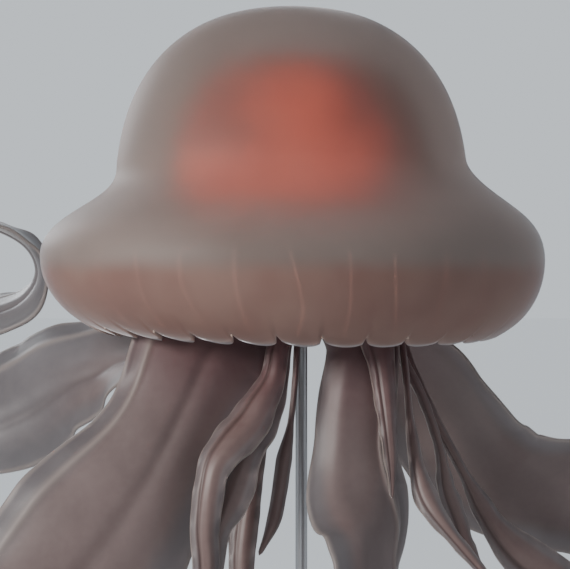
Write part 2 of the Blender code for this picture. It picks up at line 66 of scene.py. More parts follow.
# What only the skins have
SHINGLE = 0.0024            # how far one side of a lappet's tip is raised
LINING_TURN, LINING_LEAVE = math.radians(20), 0.62      # where the lining leaves cavity and brim
CANALS, CANAL_SIDES = LAPPETS, 6
CANAL_RADIUS, CANAL_TIP, CANAL_WANDER = 0.0040, 0.35, 0.11      # the tip's is a share of the radius
CANAL_START, CANAL_REACH = 0.05, 0.80       # shares of the flare above the rim, and of a lappet
CANAL_DEPTHS = (0.42, 0.50) # share of the wall that lies over them, at the rim and the margin
CANAL_START_DEPTH = 1.6     # times the depth at the rim
ORGAN_SIZE = (0.0028, 0.0026, 0.0048)
ORGAN_SEAT = (-0.004, 0.0, 0.001)           # from the margin's surface at a notch
STOMACH_FOLDS, STOMACH_FOLD_DEPTH = 36, 0.010
MOUTH_FOLDS, MOUTH_FOLD_DEPTH, PILLAR_DEPTH, MOUTH_EDGE = 28, 0.006, 0.04, 0.006
# The fullest places of the gut, which are redder and glow brighter with painted light, as x, y, h,
# reach and strength
GUT_BLOOMS = ((0.00, -0.19, 0.455, 0.140, 1.00), (-0.20, -0.13, 0.290, 0.120, 1.00),
              (-0.12, -0.19, 0.290, 0.120, 0.90), (-0.03, -0.20, 0.300, 0.120, 0.80),
              (0.06, -0.21, 0.310, 0.130, 0.70), (0.13, -0.17, 0.340, 0.130, 0.35),
              (0.20, 0.13, 0.300, 0.140, 0.80), (-0.14, 0.19, 0.300, 0.140, 0.90),
              (-0.03, 0.17, 0.460, 0.140, 0.70))
JELLY_IOR = 1.15

# Every arm and lip
RUN_FADE = 0.03             # length over which the root turns from straight down to its route
FREE_FADE = 0.15            # length over which cup, ripples and folds come in
ROOT_FLARE = 0.060          # length over which the root swells into the mouth disc
RIPPLE_FULL, DETAIL_FULL = 0.08, 0.02       # half widths below which ripples and detail fade
THINNING = 0.45             # share of its thickness that a blade loses on its way to the tip
BEAD_PLACE, BEAD_WIDTH = 0.95, 0.05         # as shares of the half width
FRILL_WAVE = 0.21           # as a share of the ripple's
TIP_ROUND, TIP_BLUNT = 2.5, 0.12            # a rounded tip's length and end, in half widths
NARROW_FOLD = 0.06          # folds narrower than this have pale ridges, partly a painted highlight

# The fineness of the skins
BELL_COLUMNS = LAPPETS * 16
MARGIN_ROWS, FLARE_ROWS, CROWN_ROWS, CEILING_ROWS, LINING_ROWS = 16, 26, 44, 24, 16
ROUND_COLUMNS = 256
CANAL_STEPS, CANAL_MARGIN_STEPS = 16, 14
ARM_FINE, LIP_FINE = (0.009, 0.0045), (0.006, 0.0030)   # a blade's steps along and across
WELD = 0.00001

# The camera and the light
CAMERA_PLACE = (-0.013, -3.500, 2.406)
CAMERA_LENS = 110.5
FLOOR_SIZE = 240.0
SKY_COLOUR, SKY_STRENGTH = (0.80, 0.86, 0.92, 1.0), 0.88
LAMP_AIM = (0.0, 0.0, 2.45)
# Each lamp's place, size, power and colour
LAMPS = {"key": ((-3.2, -2.8, 3.2), 0.9, 258.0, (1.0, 0.96, 0.92)),
         "rim": ((-2.2, 2.6, 3.6), 1.2, 60.0, (0.92, 0.96, 1.0))}


# ---------------------------------------------------------------- node trees

def operator(operation, reflected=False):
    """An operator for fields, or its reflected form, as in 1 - field."""
    def work(self, other):
        pair = (other, self) if reflected else (self, other)
        return self.maths(operation, *pair)
    return work


class Field:
    """A value that nodes work out. Arithmetic on it adds Math nodes to its tree."""

    def __init__(self, nodes, socket):
        self.nodes, self.socket = nodes, socket

    def maths(self, operation, *values):
        made = self.nodes.add("ShaderNodeMath", {"operation": operation}, dict(enumerate(values)))
        return Field(self.nodes, made.outputs[0])

    __add__, __radd__ = operator("ADD"), operator("ADD", reflected=True)
    __sub__, __rsub__ = operator("SUBTRACT"), operator("SUBTRACT", reflected=True)
    __mul__, __rmul__ = operator("MULTIPLY"), operator("MULTIPLY", reflected=True)
    __truediv__, __pow__ = operator("DIVIDE"), operator("POWER")


def sine(value):
    return value.maths("SINE", value) if isinstance(value, Field) else math.sin(value)


def cosine(value):
    return value.maths("COSINE", value) if isinstance(value, Field) else math.cos(value)


def floor_of(value):
    return value.maths("FLOOR", value) if isinstance(value, Field) else math.floor(value)


def held(value, low=0.0, high=1.0):
    """The value, kept between low and high."""
    if isinstance(value, Field):
        return value.maths("MINIMUM", value.maths("MAXIMUM", value, low), high)
    return min(high, max(low, value))


class Nodes:
    """A node tree being written."""

    def __init__(self, tree):
        self.tree = tree

    def fill(self, target, value):
        """Links a socket to a value that nodes work out, or keeps a plain value in it."""
        source = value.socket if isinstance(value, Field) else value
        if isinstance(source, bpy.types.NodeSocket):
            self.tree.links.new(source, target)
        elif target.type == "RGBA":
            target.default_value = (*value, 1.0)
        else:
            target.default_value = value

    def add(self, kind, settings=None, sockets=None):
        """One node: its settings go in first, then the values or links of its sockets."""
        made = self.tree.nodes.new(kind)
        for name, value in (settings or {}).items():
            setattr(made, name, value)
        for key, value in (sockets or {}).items():
            self.fill(made.inputs[key], value)
        return made

    def field(self, kind, settings=None, sockets=None):
        """One node, read from its first output."""
        return Field(self, self.add(kind, settings, sockets).outputs[0])

    def vector(self, operation, *values):
        """Vector Math. A distance is read from its Value socket."""
        made = self.add("ShaderNodeVectorMath", {"operation": operation}, dict(enumerate(values)))
        return Field(self, made.outputs["Value" if operation == "DISTANCE" else "Vector"])

    def split(self, vector):
        """The three numbers of a vector."""
        made = self.add("ShaderNodeSeparateXYZ", None, {0: vector})
        return [Field(self, out) for out in made.outputs]

    def smooth(self, value, low, high, start=0.0, end=1.0):
        """start below low and end above high, with a soft step between them."""
        return self.field("ShaderNodeMapRange", {"interpolation_type": "SMOOTHSTEP"},
                          {"Value": value, "From Min": low, "From Max": high,
                           "To Min": start, "To Max": end})

    def mix(self, share, below, above):
        """A colour between two colours."""
        made = self.add("ShaderNodeMix", {"data_type": "RGBA"},
                        {"Factor": share, 6: below, 7: above})
        return Field(self, made.outputs[2])

    def noise(self, place, scale, detail=3.0, roughness=0.5):
        return self.field("ShaderNodeTexNoise", None,
                          {"Vector": place, "Scale": scale, "Detail": detail, "Roughness": roughness})


# ---------------------------------------------------------------- finishes

class Finish(Nodes):
    """A material round one Principled shader."""

    def __init__(self, name, **values):
        self.material = bpy.data.materials.new(name)
        self.material.use_nodes = True
        super().__init__(self.material.node_tree)
        self.shader = self.tree.nodes["Principled BSDF"]
        for key, value in values.items():
            self.set(key.replace("_", " ").title().replace("Ior", "IOR"), value)

    def set(self, socket, value):
        self.fill(self.shader.inputs[socket], value)

    def place(self):
        """The point of the piece that is being shaded."""
        return Field(self, self.add("ShaderNodeTexCoord").outputs["Object"])

    def reading(self, name):
        """A number that the mesh keeps at each of its points."""
        return Field(self, self.add("ShaderNodeAttribute", {"attribute_name": name}).outputs["Fac"])

    def frost(self, tint, roughness, share):
        """Mixes in a share of frosted jelly, which passes a blurred view."""
        clear = self.add("ShaderNodeBsdfPrincipled", None,
                         {"Base Color": tint, "Roughness": roughness, "IOR": JELLY_IOR,
                          "Transmission Weight": 1.0})
        both = self.add("ShaderNodeMixShader", None,
                        {0: share, 1: self.shader.outputs[0], 2: clear.outputs[0]})
        self.tree.links.new(both.outputs[0], self.tree.nodes["Material Output"].inputs["Surface"])

    def relief(self, height, strength, distance):
        """Fine bumps in the surface."""
        bump = self.add("ShaderNodeBump", None,
                        {"Height": height, "Strength": strength, "Distance": distance})
        self.set("Normal", Field(self, bump.outputs["Normal"]))


def bell_jelly():
    """Milky jelly that passes a blurred view of what is in it: grey-taupe over the crown,
    pinkish brown and closer below the rim."""
    made = Finish("bell_jelly", roughness=0.55, specular_ior_level=0.15,
                  sheen_weight=0.45, sheen_roughness=0.25)
    made.set("Sheen Tint", (0.90, 0.94, 1.0))
    place = made.place()
    height = made.split(place)[2] - MARGIN_Z
    wander, cloud = made.noise(place, scale=5.0), made.noise(place, scale=2.2, detail=4.0)
    veil = made.smooth(cloud, 0.35, 0.65)
    brim_grey = made.mix(veil, (0.135, 0.107, 0.096), (0.175, 0.142, 0.129))
    crown_grey = made.mix(veil, (0.092, 0.071, 0.063), (0.122, 0.097, 0.086))
    grey = made.mix(made.smooth(height, 0.24, 0.42), brim_grey, crown_grey)
    pink = made.mix(made.smooth(wander, 0.3, 0.7), (0.148, 0.083, 0.071), (0.182, 0.115, 0.097))
    below_rim = made.smooth(height + (wander - 0.5) * 0.02, 0.118, 0.160, start=1.0, end=0.0)
    # Painted highlight: the lappet tips turn pale towards their edges, as if lit along the margin.
    painted_lappet_highlight = made.smooth(made.reading("hang"), 0.86, 1.0, end=0.45)
    pale = (0.36, 0.27, 0.24)
    made.set("Base Color", made.mix(painted_lappet_highlight, made.mix(below_rim, grey, pink), pale))
    made.relief(made.noise(place, scale=38.0, detail=5.0), strength=0.10, distance=0.002)
    clear_outside = made.smooth(height, 0.19, 0.28, start=0.30, end=0.50)
    clear_inside = 0.85
    lined = made.reading("lining") * made.smooth(height, 0.16, 0.22)
    made.frost((0.62, 0.50, 0.45), 0.80, clear_outside + (clear_inside - clear_outside) * lined)
    return made.material


def stomach_flesh():
    """Red-orange where the gut is full, mauve between its pouches and over its folds.
    Its glow is painted light, brightest where the gut is full, standing in for the lamp light
    that the frosted bell keeps from it.
    """
    made = Finish("stomach_flesh", roughness=0.60, specular_ior_level=0.2, emission_strength=0.95)
    place = made.place()
    mottle = made.noise(place, scale=9.0, detail=4.0)
    full = 0.0
    for x, y, h, reach, strength in GUT_BLOOMS:
        far = made.vector("DISTANCE", place, (x, y, MARGIN_Z + h))
        full = made.smooth(far, 0.2 * reach, reach, strength, 0.0) + full
    full = held(full + (mottle - 0.5) * 0.35)
    warm = made.mix(made.smooth(mottle, 0.3, 0.7), (0.80, 0.115, 0.065), (0.95, 0.21, 0.125))
    mauve, painted_glow_dim, painted_glow_full = (0.62, 0.10, 0.085), (0.36, 0.050, 0.036), (1.0, 0.13, 0.062)
    made.set("Base Color", made.mix(full, mauve, warm))
    # Painted light: the gut glows though it is no lamp.
    made.set("Emission Color", made.mix(full, painted_glow_dim, painted_glow_full))
    made.relief(made.noise(place, scale=26.0, detail=4.0), strength=0.3, distance=0.004)
    return made.material


def blade_jelly(name, greys, pinks, cream, dark, groove, edge_band):
    """Jelly of a ribbon: pink along its middle, grey at its edges, cream on its rim, cream on
    its narrow ridges partly as a painted highlight, and painted shade in its grooves. It is redder
    near the mouth, darker and maroon at the root as painted shade from the bell, and a cooler
    grey towards the back as painted haze. groove is how dark the painted shade makes the
    grooves, and edge_band is where the grey of the edges begins, from 0 at the middle to 1
    at the rim."""
    made = Finish(name, roughness=0.46, specular_ior_level=0.35,
                  sheen_weight=0.30, sheen_roughness=0.35)
    place = made.place()
    along, across = made.reading("along"), made.reading("across")
    side = across.maths("ABSOLUTE", across)
    cloud = made.noise(place, scale=5.0, detail=4.0)
    grain = made.noise(place, scale=70.0, roughness=0.6)
    veil = made.smooth(cloud, 0.35, 0.65)
    grey, pink = made.mix(veil, *greys), made.mix(veil, *pinks)
    # Painted haze: ribbons towards the back turn a cooler grey, standing in for the bluish haze over
    # the far arms.
    haze_cool_grey = made.mix(veil, (0.070, 0.070, 0.077), (0.096, 0.096, 0.104))
    # Painted shade: the root darkens to maroon, as if shaded under the bell.
    bell_shade_maroon = (0.075, 0.029, 0.034)
    near_mouth = made.smooth(along, 0.05, 0.50, start=0.55, end=0.0)
    painted_bell_shade = made.smooth(along, 0.09, 0.36, start=0.75, end=0.0)
    painted_haze_at_back = made.smooth(made.split(place)[1], 0.16, 0.36, end=0.75)
    at_rim = made.smooth(side, 0.93, 0.985, end=0.50)
    clouded = side + (cloud - 0.5) * 0.30
    middle = made.smooth(clouded, edge_band - 0.25, edge_band + 0.05, start=1.0, end=0.0)
    shade = made.mix(painted_haze_at_back, made.mix(held(middle + near_mouth), grey, pink), haze_cool_grey)
    shade = made.mix(painted_bell_shade, shade, bell_shade_maroon)
    shade = made.mix(made.smooth(grain, 0.30, 0.70, end=0.05), shade, cream)
    # Painted shade: the grooves are darkened towards the dark colour.
    shade = made.mix(held(made.reading("groove")) * groove, shade, dark)
    shade = made.mix(at_rim, shade, cream)
    # Pale cream on narrow ridges, partly the tissue's own and partly a painted highlight.
    made.set("Base Color", made.mix(held(made.reading("ridge")) * 0.50, shade, cream))
    relief = made.noise(place, scale=30.0, detail=4.0) + grain * 0.3
    made.relief(relief, strength=0.06, distance=0.002)
    made.frost((0.60, 0.50, 0.48), 0.75, made.smooth(side, 0.50, 1.0, start=0.08, end=0.34))
    return made.material


def arm_jelly():
    return blade_jelly("arm_jelly", greys=((0.072, 0.064, 0.068), (0.096, 0.087, 0.092)),
                       pinks=((0.086, 0.059, 0.057), (0.114, 0.081, 0.078)),
                       cream=(0.24, 0.20, 0.18), dark=(0.034, 0.021, 0.021),
                       groove=0.28, edge_band=0.80)


def lip_jelly():
    return blade_jelly("lip_jelly", greys=((0.082, 0.066, 0.067), (0.112, 0.093, 0.094)),
                       pinks=((0.080, 0.047, 0.044), (0.108, 0.070, 0.065)),
                       cream=(0.29, 0.235, 0.205), dark=(0.032, 0.014, 0.013),
                       groove=0.80, edge_band=0.70)


def mottled(name, roughness, low, high, scale, detail=3.0):
    """A finish that wanders between two colours."""
    made = Finish(name, roughness=roughness)
    made.set("Base Color", made.mix(made.noise(made.place(), scale, detail), low, high))
    return made


def canal_jelly():
    return mottled("canal_jelly", 0.5, (0.38, 0.205, 0.175), (0.62, 0.37, 0.32), scale=22.0).material


def organ_jelly():
    return mottled("sense_organ", 0.4, (0.20, 0.14, 0.11), (0.30, 0.22, 0.18), scale=200.0).material


def base_paint():
    made = mottled("base_paint", 0.45, (0.030, 0.031, 0.034), (0.042, 0.043, 0.047), 30.0, 4.0)
    made.relief(made.noise(made.place(), scale=900.0, detail=2.0), strength=0.25, distance=0.0004)
    return made.material


def rod_steel():
    """Steel brushed round its axis."""
    made = Finish("rod_steel", metallic=1.0)
    place = made.place()
    drawn = made.vector("MULTIPLY", place, (1.0, 1.0, 160.0))
    lines = made.noise(drawn, scale=9.0, detail=4.0, roughness=0.6)
    made.set("Base Color", made.mix(lines, (0.34, 0.34, 0.35), (0.47, 0.47, 0.48)))
    made.set("Roughness", made.smooth(lines, 0.2, 0.8, 0.26, 0.42))
    made.relief(lines, strength=0.10, distance=0.0004)
    return made.material


# ---------------------------------------------------------------- meshes

def add_object(name, data):
    made = bpy.data.objects.new(name, data)
    bpy.context.scene.collection.objects.link(made)
    return made


def keep_readings(mesh, readings):
    """Each reading is a list of numbers, one for each point of the mesh."""
    for key, values in readings.items():
        mesh.attributes.new(key, "FLOAT", "POINT").data.foreach_set("value", values)


def add_mesh(name, points, faces, finish, **readings):
    """A smooth mesh, as an object."""
    mesh = bpy.data.meshes.new(name)
    mesh.from_pydata([tuple(p) for p in points], [], faces)
    mesh.validate()
    keep_readings(mesh, readings)
    mesh.materials.append(finish)
    mesh.shade_smooth()
    return add_object(name, mesh)


def settle(piece, slot, *nodes):
    """The piece goes with the model and stands for the nodes, which are hidden. slot is not used."""
    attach(piece, "root")
    if nodes:
        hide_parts(*nodes)


# ---------------------------------------------------------------- curves

def cubic(ends, t):
    """A point of a cubic curve, from its two ends and two handles."""
    weights = ((1 - t) ** 3, 3 * t * (1 - t) ** 2, 3 * t * t * (1 - t), t ** 3)
    return tuple(sum(w * p[k] for w, p in zip(weights, ends)) for k in (0, 1))


def eased(before, after, count):
    """Points of a cubic that leaves along one pair of points and arrives along another."""
    (a, b), (c, d) = ([Vector(p) for p in pair] for pair in (before, after))
    pull = (c - b).length / 2
    ends = (b, b + (b - a).normalized() * pull, c - (d - c).normalized() * pull, c)
    return [cubic(ends, i / count) for i in range(1, count)]


def inset(profile, walls):
    """The profile moved inwards by a wall thickness at each point, square to its run."""
    moved = []
    for i, (radius, h) in enumerate(profile):
        before, after = profile[max(i - 1, 0)], profile[min(i + 1, len(profile) - 1)]
        run = Vector((after[0] - before[0], after[1] - before[1])).normalized()
        moved.append((radius - run.y * walls[i], h + run.x * walls[i]))
    return moved


def between(keys, at):
    """A value at a share of the length, eased between (share, value) pairs."""
    if at <= keys[0][0]:
        return keys[0][1]
    for (low, a), (high, b) in zip(keys, keys[1:]):
        if at <= high:
            t = (at - low) / (high - low)
            return a + (b - a) * t * t * (3 - 2 * t)
    return keys[-1][1]


def through(points, fine=24):
    """Points closely spaced on a smooth curve through the route's own points."""
    p = [Vector(q) for q in points]
    p = [2 * p[0] - p[1], *p, 2 * p[-1] - p[-2]]
    found = []
    for a, b, c, d in zip(p, p[1:], p[2:], p[3:]):
        for k in range(fine):
            t = k / fine
            found.append(0.5 * (2 * b + (c - a) * t + (2 * a - 5 * b + 4 * c - d) * t * t
                                + (3 * b - a - 3 * c + d) * t ** 3))
    return [*found, p[-2]]


# ---------------------------------------------------------------- bell

def margin_arc(angle):
    """Outer surface below the rim: 0 is the rim, and it curls in as the angle grows."""
    radius = MARGIN_CENTRE_RADIUS + (RIM_RADIUS - MARGIN_CENTRE_RADIUS) * cosine(angle)
    return radius, RIM_H - MARGIN_DROP * sine(angle)


def flare(t):
    """Outer surface from the rim (0) up to the neck (1), a cubic curve."""
    lean = CROWN_TAPER * NECK_RADIUS / (BELL_HEIGHT - NECK_H)
    ends = ((RIM_RADIUS, RIM_H), (RIM_RADIUS, RIM_H + FLARE_LOW),
            (NECK_RADIUS + lean * FLARE_HIGH, NECK_H - FLARE_HIGH), (NECK_RADIUS, NECK_H))
    return cubic(ends, t)


def crown_arc(angle):
    """Outer surface from the neck (0) to the apex (a right angle)."""
    across = max(math.cos(angle), 0.0) ** (2 / CROWN_POWER)
    up = math.sin(angle) ** (2 / CROWN_POWER)
    return NECK_RADIUS * across * (1 - CROWN_TAPER * up), NECK_H + (BELL_HEIGHT - NECK_H) * up


def cavity_arc(angle):
    """Inner surface of the crown from the cut (0) to the ceiling (a right angle)."""
    across = max(math.cos(angle), 0.0) ** (2 / CAVITY_POWER)
    up = math.sin(angle) ** (2 / CAVITY_POWER)
    return CAVITY_RADIUS * across, CUT_H + (CAVITY_TOP_H - CUT_H) * up


def in_place(radius, h, theta):
    """A point of the bell, for numbers and for fields. The brim sways and leans a little."""
    rise = (h - RIM_H) / (NECK_H - RIM_H)
    near_rim = held((radius - STEADY_RADIUS) / STEADY_FADE)
    loose = held(1 - rise) * near_rim
    lift = SWAY * loose * (0.5 * cosine(theta - 2.4) + 0.6 * sine(2 * theta + 0.8))
    hang = held((RIM_H - h) / MARGIN_DROP)
    skew = MARGIN_SKEW * hang ** 2 + SHOULDER_SKEW * held(sine(math.pi * held(rise) ** 1.5)) ** 1.5
    swell = 1 + 0.6 * SWAY * loose * cosine(3 * theta + 0.5)
    return (radius * swell * cosine(theta) + skew * near_rim, radius * swell * sine(theta),
            MARGIN_Z + h + lift)


def margin_wall(share):
    """Wall thickness of the margin at a share of the way from the rim to a lappet's tip."""
    return RIM_WALL + (MARGIN_WALL - RIM_WALL) * share


def bell_profile():
    """The bell's profile rows, as (radius, h, hang, wall, lining). Rows of the free margin are
    worked out again at each angle from hang, their share of the way from the rim to the tip.
    wall is how far they lie inside the outer surface, and lining is 1 on the inner surface."""
    hangs = [i / MARGIN_ROWS for i in range(1, MARGIN_ROWS + 1)]
    climbs = [i / FLARE_ROWS for i in range(FLARE_ROWS + 1)]
    rows = [(*margin_arc(LAPPET_ANGLE * hang), hang, 0.0) for hang in reversed(hangs)]
    rows += [(*flare(climb), 0.0, 0.0) for climb in climbs]
    for i in range(1, CROWN_ROWS + 1):
        rows.append((*crown_arc(math.pi / 2 * (i / CROWN_ROWS) ** 0.9), 0.0, 0.0))
    outside = len(rows)
    falls = [1 - i / CEILING_ROWS for i in range(CEILING_ROWS + 1)]
    ceiling = [cavity_arc(LINING_TURN + (math.pi / 2 - LINING_TURN) * fall) for fall in falls]
    side = [flare(LINING_LEAVE * climb) for climb in climbs]
    walls = [RIM_WALL + (NECK_WALL - RIM_WALL) * LINING_LEAVE * climb for climb in climbs]
    under = inset(side, walls)[::-1]
    bridge = eased(ceiling[-2:], under[:2], LINING_ROWS)
    rows += [(*p, 0.0, 0.0) for p in ceiling + bridge + under]
    rows += [(*margin_arc(LAPPET_ANGLE * hang), hang, margin_wall(hang)) for hang in hangs]
    rows = [(*row, float(i >= outside)) for i, row in enumerate(rows)]
    return rows + rows[:1]


class Growth(Nodes):
    """A Geometry Nodes tree that turns a seed mesh into a piece."""

    def __init__(self, name, **sizes):
        super().__init__(bpy.data.node_groups.new(name, "GeometryNodeTree"))
        kinds = {int: "NodeSocketInt", float: "NodeSocketFloat"}
        self.tree.interface.new_socket("Seed", in_out="INPUT", socket_type="NodeSocketGeometry")
        for key, value in sizes.items():
            made = self.tree.interface.new_socket(key.replace("_", " ").title(), in_out="INPUT",
                                                  socket_type=kinds[type(value)])
            made.default_value = value
        self.tree.interface.new_socket("Finish", in_out="INPUT", socket_type="NodeSocketMaterial")
        self.tree.interface.new_socket("Piece", in_out="OUTPUT", socket_type="NodeSocketGeometry")
        self.given = {s.name: Field(self, s) for s in self.add("NodeGroupInput").outputs if s.name}

    def here(self):
        """The place of each point."""
        return self.field("GeometryNodeInputPosition")

    def moved(self, geometry, radius, h, theta):
        """The geometry with each of its points put at a place of the bell."""
        placed = self.field("ShaderNodeCombineXYZ", None, dict(enumerate(in_place(radius, h, theta))))
        made = self.add("GeometryNodeSetPosition", None, {"Geometry": geometry, "Position": placed})
        return made.outputs[0]

    def end(self, geometry):
        """Ends the tree: smooth shading, real meshes and the finish."""
        smooth = self.add("GeometryNodeSetShadeSmooth", None, {"Geometry": geometry})
        real = self.add("GeometryNodeRealizeInstances", None, {"Geometry": smooth.outputs[0]})
        dressed = self.add("GeometryNodeSetMaterial", None,
                           {"Geometry": real.outputs[0], "Material": self.given["Finish"]})
        self.add("NodeGroupOutput", None, {0: dressed.outputs[0]})

    def grow(self, name, seed, finish, **sizes):
        """The plain mesh that the tree makes from a seed mesh."""
        host = add_object(name + "_seed", seed)
        modifier = host.modifiers.new("grow", "NODES")
        modifier.node_group = self.tree
        listed = self.tree.interface.items_tree
        sockets = {s.name: s.identifier for s in listed if s.in_out == "INPUT"}
        modifier[sockets["Finish"]] = finish
        for key, value in sizes.items():
            modifier[sockets[key.replace("_", " ").title()]] = value
        view = bpy.context.evaluated_depsgraph_get()
        made = bpy.data.meshes.new_from_object(host.evaluated_get(view), depsgraph=view)
        made.name = name
        bpy.data.objects.remove(host)
        return add_object(name, made)


def bell_growth():
    """Turns a profile round the axis and cuts the lappets into its margin."""
    nodes = Growth("bell_of_revolution", rows=2, columns=BELL_COLUMNS, lappets=LAPPETS,
                   notch_angle=NOTCH_ANGLE, lappet_angle=LAPPET_ANGLE, shingle=0.0)
    given = nodes.given
    rows, columns = given["Rows"], given["Columns"]
    grid = nodes.add("GeometryNodeMeshGrid", None,
                     {"Size X": 1.0, "Size Y": rows - 1,
                      "Vertices X": columns + 1, "Vertices Y": rows})
    across, up, _ = nodes.split(nodes.here())
    turn, row = across + 0.5, up + (rows - 1) * 0.5
    row = row.maths("ROUND", row)

    def sampled(kind, value):
        return nodes.field("GeometryNodeSampleIndex", {"data_type": kind},
                           {"Geometry": given["Seed"], "Value": value, "Index": row})

    def kept(name):
        return nodes.field("GeometryNodeInputNamedAttribute", {"data_type": "FLOAT"}, {"Name": name})

    fixed_radius, _, fixed_h = nodes.split(sampled("FLOAT_VECTOR", nodes.here()))
    hang, wall = sampled("FLOAT", kept("hang")), sampled("FLOAT", kept("wall"))
    theta = turn * math.tau
    share = (turn + 0.25) * given["Lappets"] + 0.5      # a lappet's middle is at the very front
    sweep = 2 * (share - floor_of(share)) - 1
    bulge = held(1 - sweep * sweep)
    reach = bulge.maths("SQRT", bulge)
    angle = hang * (given["Notch Angle"] + (given["Lappet Angle"] - given["Notch Angle"]) * reach)
    arc_radius, arc_h = margin_arc(angle)
    slope_out = MARGIN_DROP * cosine(angle)
    slope_down = (RIM_RADIUS - MARGIN_CENTRE_RADIUS) * sine(angle)
    length = (slope_out * slope_out + slope_down * slope_down) ** 0.5
    lifted = given["Shingle"] * hang ** 6 * sweep
    arc_radius = arc_radius + (lifted - wall) * slope_out / length
    arc_h = arc_h - (lifted - wall) * slope_down / length
    free = hang.maths("GREATER_THAN", hang, 0.0)
    radius = fixed_radius * (1 - free) + arc_radius * free
    h = fixed_h * (1 - free) + arc_h * free
    skin = grid.outputs["Mesh"]
    for name, value in (("lining", sampled("FLOAT", kept("lining"))), ("hang", hang)):
        skin = nodes.add("GeometryNodeStoreNamedAttribute", {"data_type": "FLOAT", "domain": "POINT"},
                         {"Geometry": skin, "Name": name, "Value": value}).outputs[0]
    joined = nodes.add("GeometryNodeMergeByDistance", None,
                       {"Geometry": nodes.moved(skin, radius, h, theta), "Distance": WELD})
    nodes.end(joined.outputs[0])
    return nodes


def ring_growth(name, tube):
    """Copies the seed round the bell and bends it to the brim. A tube follows a seed of edges."""
    nodes = Growth(name, count=1, start=0.0, thickness=0.001, wander=0.0)
    given, piece = nodes.given, nodes.given["Seed"]
    if tube:
        route = nodes.add("GeometryNodeMeshToCurve", None, {0: piece})
        along = Field(nodes, nodes.add("GeometryNodeSplineParameter").outputs["Factor"])
        shaped = nodes.add("GeometryNodeSetCurveRadius", None,
                           {0: route.outputs[0],
                            "Radius": nodes.smooth(along, 0.40, 1.0, start=1.0, end=CANAL_TIP)})
        ring = nodes.add("GeometryNodeCurvePrimitiveCircle", None,
                         {"Resolution": CANAL_SIDES, "Radius": given["Thickness"]})
        made = nodes.add("GeometryNodeCurveToMesh", None,
                         {"Curve": shaped.outputs[0], "Profile Curve": ring.outputs[0],
                          "Fill Caps": True})
        piece = made.outputs[0]
    points = nodes.add("GeometryNodeMeshLine", None,
                       {"Count": given["Count"], "Offset": (0.0, 0.0, 0.0)})
    order = nodes.field("GeometryNodeInputIndex")
    turned = nodes.field("ShaderNodeCombineXYZ", None,
                         {"Z": (order + given["Start"]) / given["Count"] * math.tau})
    copies = nodes.add("GeometryNodeInstanceOnPoints", None,
                       {"Points": points.outputs[0], "Instance": piece, "Rotation": turned})
    real = nodes.add("GeometryNodeRealizeInstances", None, {0: copies.outputs[0]})
    x, y, h = nodes.split(nodes.here())
    radius, theta = (x * x + y * y) ** 0.5, y.maths("ARCTAN2", y, x)
    drift = (nodes.noise(nodes.here(), scale=7.0, detail=1.0) - 0.5) * given["Wander"]
    nodes.end(nodes.moved(real.outputs[0], radius, h, theta + drift))
    return nodes


def make_bell():
    """The whole bell as one skin, its lining included."""
    rows = bell_profile()
    profile = bpy.data.meshes.new("bell_profile")
    profile.from_pydata([(row[0], 0.0, row[1]) for row in rows], [], [])
    _, _, hangs, walls, linings = zip(*rows)
    keep_readings(profile, {"hang": hangs, "wall": walls, "lining": linings})
    bell = bell_growth().grow("bell", profile, bell_jelly(), rows=len(rows), shingle=SHINGLE)
    settle(bell, "bell", "bell_crown", "bell_brim")


def make_canals():
    """The radial canals, which run in the brim's wall from above the rim into the lappets."""
    at_rim, at_margin = CANAL_DEPTHS
    surface, depths = [], []
    for i in range(CANAL_STEPS + 1):
        above = 1 - i / CANAL_STEPS
        surface.append(flare(CANAL_START * above))
        depths.append(RIM_WALL * at_rim * (1 + (CANAL_START_DEPTH - 1) * above))
    for i in range(1, CANAL_MARGIN_STEPS + 1):
        below = i / CANAL_MARGIN_STEPS
        surface.append(margin_arc(LAPPET_ANGLE * CANAL_REACH * below))
        depths.append(margin_wall(CANAL_REACH * below) * (at_rim + (at_margin - at_rim) * below))
    line = inset(surface[::-1], depths[::-1])[::-1]
    seed = bpy.data.meshes.new("canal_route")
    seed.from_pydata([(radius, 0.0, h) for radius, h in line],
                     [(i, i + 1) for i in range(len(line) - 1)], [])
    canals = ring_growth("canals_round_brim", tube=True).grow(
        "radial_canals", seed, canal_jelly(), count=CANALS, thickness=CANAL_RADIUS,
        wander=CANAL_WANDER)
    settle(canals, "bell")


def make_sense_organs():
    """The small pale sense organs in every other notch of the margin."""
    shape = bmesh.new()
    bmesh.ops.create_icosphere(shape, subdivisions=2, radius=1.0)
    radius, h = margin_arc(NOTCH_ANGLE * 0.985)
    bmesh.ops.scale(shape, verts=shape.verts, vec=ORGAN_SIZE)
    bmesh.ops.translate(shape, verts=shape.verts, vec=Vector((radius, 0.0, h)) + Vector(ORGAN_SEAT))
    seed = bpy.data.meshes.new("organ_shape")
    shape.to_mesh(seed)
    shape.free()
    organs = ring_growth("organs_round_margin", tube=False).grow(
        "sense_organs", seed, organ_jelly(), count=LAPPETS // 2, start=0.25)
    settle(organs, "bell")


def spun(name, profile_at, finish):
    """A closed skin turned about the axis from an open profile that may change with the angle."""
    turns = [math.tau * k / ROUND_COLUMNS for k in range(ROUND_COLUMNS)]
    rings = [profile_at(theta) for theta in turns]
    points, faces, rows = [], [], len(rings[0]) - 2
    for theta, ring in zip(turns, rings):
        points += [in_place(*p, theta) for p in ring[1:-1]]
    for k in range(ROUND_COLUMNS):
        here, there = k * rows, ((k + 1) % ROUND_COLUMNS) * rows
        faces += [(here + i, there + i, there + i + 1, here + i + 1) for i in range(rows - 1)]
    for end, row in ((0, 0), (-1, rows - 1)):
        points.append(in_place(0.0, rings[0][end][1], 0.0))
        pole = len(points) - 1
        for k in range(ROUND_COLUMNS):
            a, b = k * rows + row, ((k + 1) % ROUND_COLUMNS) * rows + row
            faces.append((pole, b, a) if end == 0 else (pole, a, b))
    return add_mesh(name, points, faces, finish)


